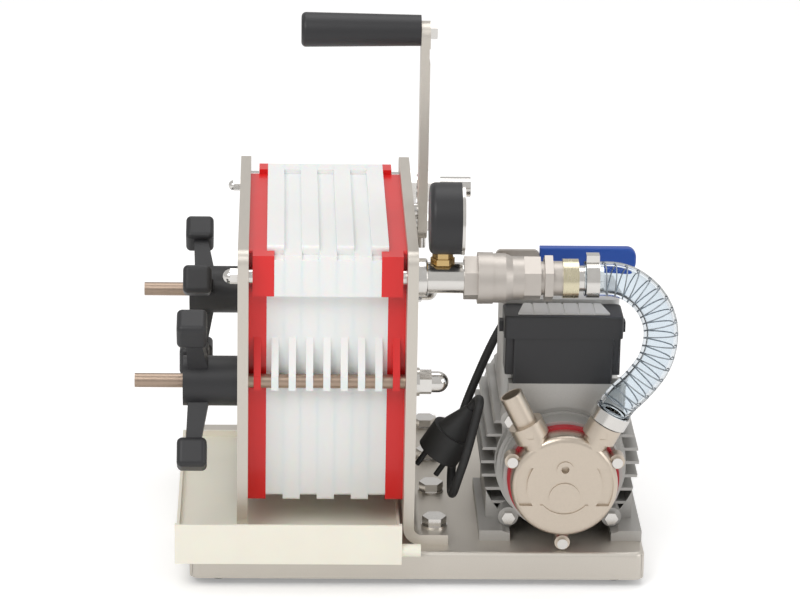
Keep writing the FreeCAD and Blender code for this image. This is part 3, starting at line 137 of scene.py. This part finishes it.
# %% [markdown]
# ## Making surfaces
#
# Every new piece below is a grid of points. One helper turns a grid into a mesh; a second carries
# a profile round an axis, as a lathe does; a third carries a ring along a path, as a hose is made.

# %% Grid helper
def grid_piece(name, points, around=False, caps=False):
    """A mesh from an (n, m, 3) array: quad (i, j) joins neighbours in both directions.

    around closes the second direction on itself, and caps fills the first and last ring.
    """
    n, m = points.shape[:2]
    index = np.arange(n * m).reshape(n, m)
    grid = index if not around else np.hstack([index, index[:, :1]])
    quads = np.stack([grid[:-1, :-1], grid[:-1, 1:], grid[1:, 1:], grid[1:, :-1]], -1).reshape(-1, 4)
    faces = quads.tolist()
    if caps:
        faces += [index[0, ::-1].tolist(), index[-1].tolist()]
    mesh = bpy.data.meshes.new(name)
    mesh.from_pydata(points.reshape(-1, 3).tolist(), [], faces)
    mesh.polygons.foreach_set("use_smooth", np.ones(len(mesh.polygons), bool))
    mesh.update()
    piece = bpy.data.objects.new(name, mesh)
    scene.collection.objects.link(piece)
    return piece


def axis_frame(axis):
    """Three unit vectors: two across the axis and the axis itself."""
    along = np.array(axis, float) / np.linalg.norm(axis)
    helper = np.array((0.0, 0.0, 1.0)) if abs(along[2]) < 0.9 else np.array((1.0, 0.0, 0.0))
    side = np.cross(helper, along)
    side /= np.linalg.norm(side)
    return side, np.cross(along, side), along


def turned(name, centre, axis, profile, steps=64, caps=False):
    """A lathe: point (s, r) of the profile goes to centre + s*axis + r*(cos a, sin a) across it."""
    side, other, along = axis_frame(axis)
    s, r = np.array(profile, float).T
    a = np.linspace(0, 2 * np.pi, steps, endpoint=False)
    ring = np.cos(a)[:, None] * side + np.sin(a)[:, None] * other
    points = np.array(centre) + s[:, None, None] * along + r[:, None, None] * ring[None]
    return grid_piece(name, points, around=True, caps=caps)


def carried(name, path, ring_radius, steps=24, caps=True):
    """A ring carried along a path by parallel transport: p + r*(cos a * u + sin a * v)."""
    path = np.asarray(path, float)
    tangent = np.gradient(path, axis=0)
    tangent /= np.linalg.norm(tangent, axis=1)[:, None]
    u = np.zeros_like(path)
    u[0] = axis_frame(tangent[0])[0]
    for i in range(1, len(path)):
        u[i] = u[i - 1] - tangent[i] * np.dot(u[i - 1], tangent[i])
        u[i] /= np.linalg.norm(u[i])
    v = np.cross(tangent, u)
    a = np.linspace(0, 2 * np.pi, steps, endpoint=False)
    radius = np.broadcast_to(ring_radius, len(path))
    ring = np.cos(a)[None, :, None] * u[:, None] + np.sin(a)[None, :, None] * v[:, None]
    points = path[:, None] + radius[:, None, None] * ring
    return grid_piece(name, points, around=True, caps=caps)


print("surface helpers ready")

# %% [markdown]
# ## The floor
#
# A plain pale sheet under the rubber feet. The camera sees it near white, and it still takes the
# press's soft shadow. It belongs to the stage, not to the press.

# %% Floor
FLOOR_HALF = 6.0
u, v = np.meshgrid(np.linspace(-FLOOR_HALF, FLOOR_HALF, 2), np.linspace(-FLOOR_HALF, FLOOR_HALF, 2),
                   indexing="ij")
floor = grid_piece("floor", np.stack([u, v, np.zeros_like(u)], -1)[:, ::-1])
floor_paint = bpy.data.materials.new("floor_paint")
tree = new_nodes(floor_paint)
shader = tree.nodes.new("ShaderNodeBsdfPrincipled")
out = tree.nodes.new("ShaderNodeOutputMaterial")
shader.inputs["Base Color"].default_value = (0.93, 0.93, 0.93, 1)
shader.inputs["Roughness"].default_value = 0.8
shader.inputs["Emission Color"].default_value = (1, 1, 1, 1)
path = tree.nodes.new("ShaderNodeLightPath")
glow = tree.nodes.new("ShaderNodeMath")
glow.operation = "MULTIPLY"
glow.inputs[1].default_value = 0.25
tree.links.new(path.outputs["Is Camera Ray"], glow.inputs[0])
tree.links.new(glow.outputs[0], shader.inputs["Emission Strength"])
tree.links.new(shader.outputs[0], out.inputs["Surface"])
floor.data.materials.append(floor_paint)
print("floor laid")

# %% [markdown]
# ## Finishes
#
# A real surface is never one flat colour. Each finish starts as a Principled shader; noise on the
# piece's own coordinates then shifts its colour a little, its roughness a little more, and raises
# or lowers the surface by a hair. Brushed steel stretches that noise into lines.

# %% Finish helper
def finish(name, color, rough=0.5, metal=0.0, grain=(60, 60, 60), vary=0.08, rough_vary=0.12,
           bump=0.05, bump_size=0.0004, coat=0.0, **sockets):
    """A procedural material: stretched noise drives colour, roughness and bump."""
    material = bpy.data.materials.new(name)
    tree = new_nodes(material)
    shader = tree.nodes.new("ShaderNodeBsdfPrincipled")
    out = tree.nodes.new("ShaderNodeOutputMaterial")
    place = tree.nodes.new("ShaderNodeTexCoord")
    stretch = tree.nodes.new("ShaderNodeMapping")
    stretch.inputs["Scale"].default_value = grain
    tree.links.new(place.outputs["Object"], stretch.inputs["Vector"])
    noise = tree.nodes.new("ShaderNodeTexNoise")
    noise.inputs["Scale"].default_value = 1.0
    noise.inputs["Detail"].default_value = 4.0
    tree.links.new(stretch.outputs[0], noise.inputs["Vector"])
    tone = tree.nodes.new("ShaderNodeMapRange")
    tone.inputs["To Min"].default_value = 1.0 - vary
    tone.inputs["To Max"].default_value = 1.0 + vary
    tree.links.new(noise.outputs["Fac"], tone.inputs["Value"])
    shade = tree.nodes.new("ShaderNodeVectorMath")
    shade.operation = "SCALE"
    shade.inputs[0].default_value = color[:3]
    tree.links.new(tone.outputs[0], shade.inputs["Scale"])
    tree.links.new(shade.outputs[0], shader.inputs["Base Color"])
    sheen = tree.nodes.new("ShaderNodeMapRange")
    sheen.inputs["To Min"].default_value = max(rough - rough_vary, 0.02)
    sheen.inputs["To Max"].default_value = min(rough + rough_vary, 1.0)
    tree.links.new(noise.outputs["Fac"], sheen.inputs["Value"])
    tree.links.new(sheen.outputs[0], shader.inputs["Roughness"])
    if bump:
        raise_it = tree.nodes.new("ShaderNodeBump")
        raise_it.inputs["Strength"].default_value = bump
        raise_it.inputs["Distance"].default_value = bump_size
        tree.links.new(noise.outputs["Fac"], raise_it.inputs["Height"])
        tree.links.new(raise_it.outputs[0], shader.inputs["Normal"])
    shader.inputs["Metallic"].default_value = metal
    shader.inputs["Coat Weight"].default_value = coat
    for socket, value in sockets.items():
        shader.inputs[socket.replace("_", " ")].default_value = value
    tree.links.new(shader.outputs[0], out.inputs["Surface"])
    return material


def dress(material, *names):
    """Puts a material on carried-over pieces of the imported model."""
    for name in names:
        data = nodes[name].data
        data.materials.clear()
        data.materials.append(material)


# %% [markdown]
# ## Stainless steel
#
# The pan, the two squeezing plates and the carry bar are cold-rolled sheet with a fine grain. The
# grain runs along the sheet, so the noise is stretched ten times along one axis.

# %% Steel
steel = finish("stainless_sheet", (0.66, 0.62, 0.56), rough=0.42, metal=0.85, grain=(700, 30, 900),
               vary=0.05, rough_vary=0.08, bump=0.12, bump_size=0.0002)
steel_upright = finish("stainless_plate", (0.66, 0.62, 0.56), rough=0.42, metal=0.85,
                       grain=(900, 40, 700), vary=0.05, rough_vary=0.08, bump=0.12, bump_size=0.0002)
bright = finish("bright_nickel", (0.74, 0.72, 0.69), rough=0.16, metal=1.0, grain=(200, 200, 200),
                vary=0.04, rough_vary=0.06, bump=0.04)
cast_nickel = finish("cast_nickel", (0.63, 0.55, 0.46), rough=0.32, metal=0.9, grain=(500, 500, 500),
                     vary=0.05, rough_vary=0.08, bump=0.1)
blasted = finish("blasted_steel", (0.56, 0.52, 0.48), rough=0.45, metal=0.9, grain=(1500, 1500, 1500),
                 vary=0.06, rough_vary=0.1, bump=0.15, bump_size=0.0003)
rod_steel = finish("rod_steel", (0.42, 0.32, 0.25), rough=0.34, metal=0.9, grain=(400, 80, 80), vary=0.1)
brass = finish("turned_brass", (0.62, 0.44, 0.20), rough=0.3, metal=1.0, grain=(300, 300, 900), vary=0.06)
pale_brass = finish("nickel_washed_brass", (0.72, 0.66, 0.48), rough=0.25, metal=1.0,
                    grain=(900, 200, 200), vary=0.05)
dress(steel, "base_pan")
dress(steel_upright, "frame_plate", "pressing_plate", "carry_bar")
dress(bright, "foot_bolts", "rod_acorn_nuts", "port_cap_nuts", "carry_bolts", "gauge_bezel",
      "hose_clamp_top", "hose_clamp_low", "motor_tie_bolts", "pump_screws", "outlet_tail", "hose_tail",
      "inlet_pipe", "discharge_tail")
dress(cast_nickel, "pump_cover", "port_collars", "suction_tail")
dress(blasted, "valve_body", "hex_nipple", "valve_lever")
dress(rod_steel, "tie_rod_front", "tie_rod_back")
dress(brass, "gauge_stem")
dress(pale_brass, "union_nut")
print("metal finishes on", sum(1 for o in nodes.values() if o.data.materials), "pieces")

# %% [markdown]
# ## Moulded plastics
#
# The end plates are a hot red, the filter plates a milky white that lets a little light in, and
# the knobs, grip and box a fine-grained black. Light that scatters inside is what makes white
# plastic look like plastic instead of plaster, so those shaders carry some subsurface.

# %% Plastics
red = finish("red_plastic", (0.74, 0.012, 0.012), rough=0.32, grain=(25, 25, 25), vary=0.05,
             rough_vary=0.06, bump=0.03, coat=0.15)
milky = finish("milky_plastic", (0.88, 0.88, 0.87), rough=0.34, grain=(20, 20, 20), vary=0.03,
               rough_vary=0.06, bump=0.03, Subsurface_Weight=0.25, Subsurface_Scale=0.006)
black = finish("black_plastic", (0.022, 0.022, 0.024), rough=0.45, grain=(1400, 1400, 1400),
               vary=0.12, rough_vary=0.1, bump=0.12, bump_size=0.0003)
rubber = finish("black_rubber", (0.018, 0.018, 0.018), rough=0.62, grain=(400, 400, 400), vary=0.15)
blue = finish("blue_sleeve", (0.012, 0.07, 0.36), rough=0.4, grain=(60, 60, 60), vary=0.06, coat=0.1)
ivory = finish("ivory_plastic", (0.88, 0.85, 0.74), rough=0.4, grain=(30, 30, 30), vary=0.03,
               Subsurface_Weight=0.15, Subsurface_Scale=0.004)
light_grey = finish("light_grey_plastic", (0.62, 0.61, 0.59), rough=0.45, grain=(200, 200, 200), vary=0.04)
gasket_red = finish("gasket_red", (0.42, 0.02, 0.03), rough=0.5, grain=(90, 90, 90), vary=0.1)
motor_paint = finish("motor_aluminium", (0.46, 0.45, 0.43), rough=0.42, metal=0.55,
                     grain=(700, 700, 700), vary=0.08, rough_vary=0.1, bump=0.2, bump_size=0.0003)
dress(red, "end_plate_fixed", "end_plate_moving")
dress(milky, *PLATES)
dress(black, "knob_front", "knob_back", "carry_grip", "terminal_box", "terminal_lid", "gauge_case",
      "cord_gland")
dress(rubber, "rubber_feet", "cord", "plug")
dress(blue, "lever_sleeve")
dress(ivory, "drip_tray")
dress(light_grey, "wiring_housing")
dress(gasket_red, "pump_gasket")
dress(motor_paint, "motor_body", "motor_front_shield", "motor_fan_cowl", "motor_feet", "pump_adapter")
bare = [name for name, o in nodes.items() if not o.data.materials]
print("pieces still without a finish:", bare)

# %% [markdown]
# ## The mains cord
#
# The mains cord leaves a gland at the back of the wiring housing, drops behind the terminal box
# and folds up at its plug between the frame plate and the motor. It is a moulded round lead, so a
# smooth curve through its route with a round section is what it really is. The gland's tapered
# rubber sleeve keeps the first bend from breaking it.

# %% Cord and strain relief
CORD_ROUTE = [
    (0.137, -0.005, 0.207), (0.137, 0.026, 0.207), (0.112, 0.047, 0.187), (0.088, 0.0302, 0.166),
    (0.0573, -0.020, 0.1132), (0.050, -0.045, 0.098), (0.043, -0.075, 0.076), (0.042, -0.096, 0.060),
    (0.0425, -0.117, 0.064), (0.046, -0.1265, 0.082), (0.053, -0.1285, 0.106), (0.059, -0.127, 0.132),
    (0.0636, -0.126, 0.152), (0.0632, -0.1053, 0.1495), (0.0565, -0.104, 0.1385),
]
CORD_ACROSS = 0.0075
GLAND_LONG = 0.012
# The sleeve's profile: how far along the cord, and how far out from its middle.
SLEEVE_PROFILE = [(0, 0.008), (0.004, 0.008), (0.006, 0.0065), (0.022, 0.0046), (0.025, 0.0039)]
curve = bpy.data.curves.new("mains_cord", "CURVE")
curve.dimensions = "3D"
curve.bevel_depth = CORD_ACROSS / 2
curve.bevel_resolution = 6
curve.use_fill_caps = True
spline = curve.splines.new("NURBS")
spline.points.add(len(CORD_ROUTE) - 1)
for point, spot in zip(spline.points, CORD_ROUTE):
    point.co = (*spot, 1.0)
spline.order_u = 3
spline.use_endpoint_u = True
spline.resolution_u = 12
cord = bpy.data.objects.new("mains_cord", curve)
scene.collection.objects.link(cord)
curve.materials.append(rubber)
exit_x, exit_y, exit_z = CORD_ROUTE[0]
relief = turned("cord_relief", (exit_x, exit_y - GLAND_LONG, exit_z), (0, 1, 0), SLEEVE_PROFILE, caps=True)
relief.data.materials.append(rubber)
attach(relief, "root")
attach(cord, "root")
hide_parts("cord_gland")
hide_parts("cord")
print("cord of", len(CORD_ROUTE), "points, relief", len(relief.data.vertices), "vertices")

# %% [markdown]
# ## The clear hose
#
# The pump hose is clear PVC with a steel wire spiral inside its wall. The wire is one helix wound
# round the hose's middle line, eight millimetres to a turn; the wall itself stays the solid tube
# and only needs a clear, slightly blue material.

# %% Hose and its wire
HOSE_ROUTE = np.array([
    (0.1475, -0.1235, 0.262), (0.181, -0.1235, 0.262), (0.2035, -0.131, 0.247),
    (0.2135, -0.1385, 0.224), (0.2085, -0.1465, 0.197), (0.192, -0.1515, 0.177),
    (0.178, -0.153, 0.1644), (0.1681, -0.153, 0.1449),
])
WIRE_RADIUS = 0.0131
WIRE_ROUND = 0.00055
WIRE_PITCH = 0.0082
WIRE_END = 0.002
WIRE_STEPS = 1400


def smooth_path(corners, steps=40):
    """Between the middles of a polyline's runs, p = (1-t)^2 a + 2t(1-t) b + t^2 c."""
    middles = np.vstack([corners[:1], (corners[1:-2] + corners[2:-1]) / 2, corners[-1:]])
    t = np.linspace(0, 1, steps, endpoint=False)[:, None]
    runs = [(1 - t) ** 2 * a + 2 * t * (1 - t) * b + t ** 2 * c
            for a, b, c in zip(middles, corners[1:-1], middles[1:])]
    return np.vstack(runs + [corners[-1:]])


line = smooth_path(HOSE_ROUTE)
walked = np.concatenate([[0], np.cumsum(np.linalg.norm(np.diff(line, axis=0), axis=1))])
along_wire = np.linspace(WIRE_END, walked[-1] - WIRE_END, WIRE_STEPS)
middle = np.stack([np.interp(along_wire, walked, line[:, k]) for k in range(3)], 1)
ahead = np.gradient(middle, axis=0)
ahead /= np.linalg.norm(ahead, axis=1)[:, None]
across = np.cross(ahead, (0.0, 1.0, 0.0))
across /= np.linalg.norm(across, axis=1)[:, None]
turn = 2 * np.pi * along_wire / WIRE_PITCH
coil = middle + WIRE_RADIUS * (np.cos(turn)[:, None] * across
                               + np.sin(turn)[:, None] * np.cross(ahead, across))
wire = carried("hose_wire", coil, WIRE_ROUND, steps=8)
wire.data.materials.append(finish("wire_steel", (0.30, 0.32, 0.34), rough=0.4, metal=0.6))
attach(wire, "root")
clear = finish("clear_hose", (0.90, 0.95, 0.99), rough=0.08, grain=(40, 40, 40), vary=0.03,
               rough_vary=0.04, bump=0.1, bump_size=0.0004, Transmission_Weight=1.0, IOR=1.12)
dress(clear, "hose")
dress(motor_paint, "motor_saddle")
dress(light_grey, "lid_cover")
print("wire of", len(wire.data.polygons), "faces")

# %% [markdown]
# ## The gauge's dial
#
# The dial is a white disc behind the bezel with a black scale of short radial strokes. Every
# third stroke is longer. Each is a very thin bar, as a print has no depth to speak of.

# %% Gauge dial
DIAL_CENTRE = (0.0455, -0.1235, 0.3139)
DIAL_RADIUS = 0.0275
DIAL_THICK = 0.0003
STROKES = 28
FIRST_STROKE = -135
STROKE_TURN = 10
STROKE_LIFT = 0.0005
STROKE_ROUND = 0.0003
STROKE_OUTER = 0.0250
STROKE_INNER = 0.0225
LONG_INNER = 0.0205
dial = turned("gauge_dial", DIAL_CENTRE, (1, 0, 0), [(0, DIAL_RADIUS), (DIAL_THICK, DIAL_RADIUS)],
              caps=True)
dial.data.materials.append(finish("dial_white", (0.86, 0.86, 0.84), rough=0.35, vary=0.02))
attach(dial, "root")
ink = finish("dial_ink", (0.02, 0.02, 0.02), rough=0.5)
dial_x, dial_y, dial_z = DIAL_CENTRE
for step in range(STROKES):
    lean = math.radians(FIRST_STROKE + STROKE_TURN * step)
    inner = LONG_INNER if step % 3 == 0 else STROKE_INNER
    spots = [(dial_x + STROKE_LIFT, dial_y + r * math.sin(lean), dial_z + r * math.cos(lean))
             for r in (inner, STROKE_OUTER)]
    stroke = carried("dial_stroke_%02d" % step, spots, STROKE_ROUND, steps=6)
    stroke.data.materials.append(ink)
    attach(stroke, "root")
print("dial with", STROKES, "strokes")
